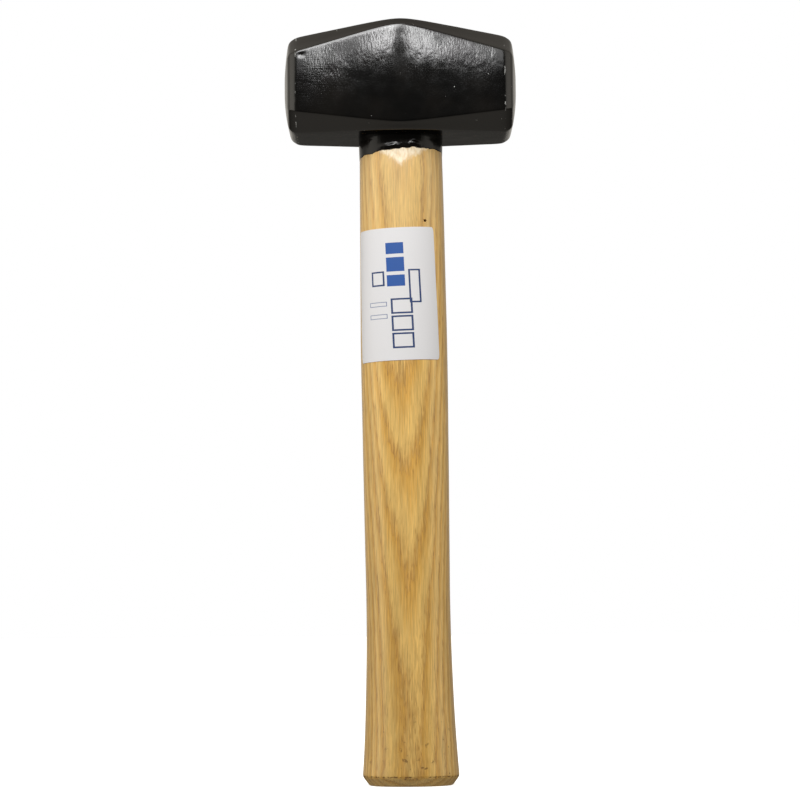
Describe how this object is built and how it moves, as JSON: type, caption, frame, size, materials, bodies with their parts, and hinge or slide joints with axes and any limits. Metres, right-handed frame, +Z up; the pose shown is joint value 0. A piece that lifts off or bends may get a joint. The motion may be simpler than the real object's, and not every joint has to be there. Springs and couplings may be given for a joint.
{
  "type": "club hammer",
  "caption": "Short double-faced club hammer: black lacquered forged head with octagonal striking faces on an oval ash handle, wedged in the eye, with a paper label.",
  "frame": {"origin": "middle of the floor that the hammer stands on, butt down, below the middle of the head", "axes": "+Z up the handle to the head, X along the head from striking face to striking face, -Y the front, where the label is"},
  "size_m": [0.095, 0.0438, 0.3097],
  "materials": {
    "black_lacquer": "dipped semi-gloss black lacquer over forged steel",
    "varnished_ash": "clear varnish, satin to gloss",
    "beech": "bare, end cut",
    "wedge_steel": "ground flush",
    "white_paper": "coated paper label"
  },
  "bodies": {
    "root": {"head": "black_lacquer", "handle": "varnished_ash", "wood_wedge": "beech", "steel_wedge_left": "wedge_steel", "steel_wedge_right": "wedge_steel", "label": "white_paper"}
  },
  "joints": []
}
